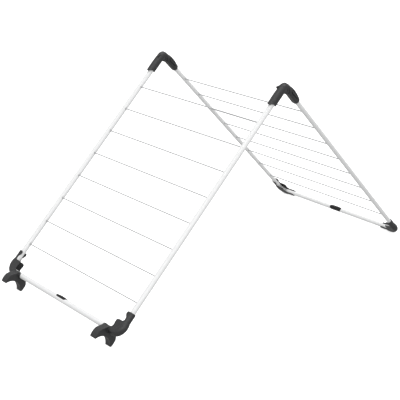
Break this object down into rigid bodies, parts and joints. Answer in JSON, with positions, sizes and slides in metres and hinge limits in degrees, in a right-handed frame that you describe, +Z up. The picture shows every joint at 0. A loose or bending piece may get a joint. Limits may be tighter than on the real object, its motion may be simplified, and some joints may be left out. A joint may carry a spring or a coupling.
{
  "type": "folding clothes drying rack",
  "caption": "Free-standing A-frame clothes airer with two wired white tube panels, dark plastic elbow hinges and forked rim feet.",
  "frame": {"origin": "on the floor, at the centre of the standing rack's footprint", "axes": "+X along the hinge line; +Z up; the front panel with the forked feet leans towards -Y and the rear panel towards +Y"},
  "size_m": [0.5564, 1.2412, 0.6224],
  "materials": {
    "tube": "white powder coat, semi-gloss",
    "wire": "white plastic coated wire, satin",
    "plastic": "dark grey, finely textured",
    "pin": "blackened steel"
  },
  "bodies": {
    "front_panel": {"front_tube": "tube", "front_wire_1": "wire", "front_wire_2": "wire", "front_wire_3": "wire", "front_wire_4": "wire", "front_wire_5": "wire", "front_wire_6": "wire", "front_wire_7": "wire", "front_wire_8": "wire", "front_hinge_left": "plastic", "front_hinge_right": "plastic", "hinge_pin_left": "pin", "hinge_pin_right": "pin", "front_foot_left": "plastic", "front_foot_right": "plastic", "front_crossbar_pad": "plastic"},
    "rear_panel": {"rear_tube": "tube", "rear_wire_1": "wire", "rear_wire_2": "wire", "rear_wire_3": "wire", "rear_wire_4": "wire", "rear_wire_5": "wire", "rear_wire_6": "wire", "rear_wire_7": "wire", "rear_wire_8": "wire", "rear_hinge_left": "plastic", "rear_hinge_right": "plastic", "rear_corner_left": "plastic", "rear_corner_right": "plastic", "rear_crossbar_pad": "plastic"}
  },
  "joints": [
    {"name": "fold", "type": "hinge", "parent": "front_panel", "child": "rear_panel", "pos_m": [0, 0.03398, 0.59964], "axis": [1, 0, 0], "range_deg": [-88, 0]}
  ]
}
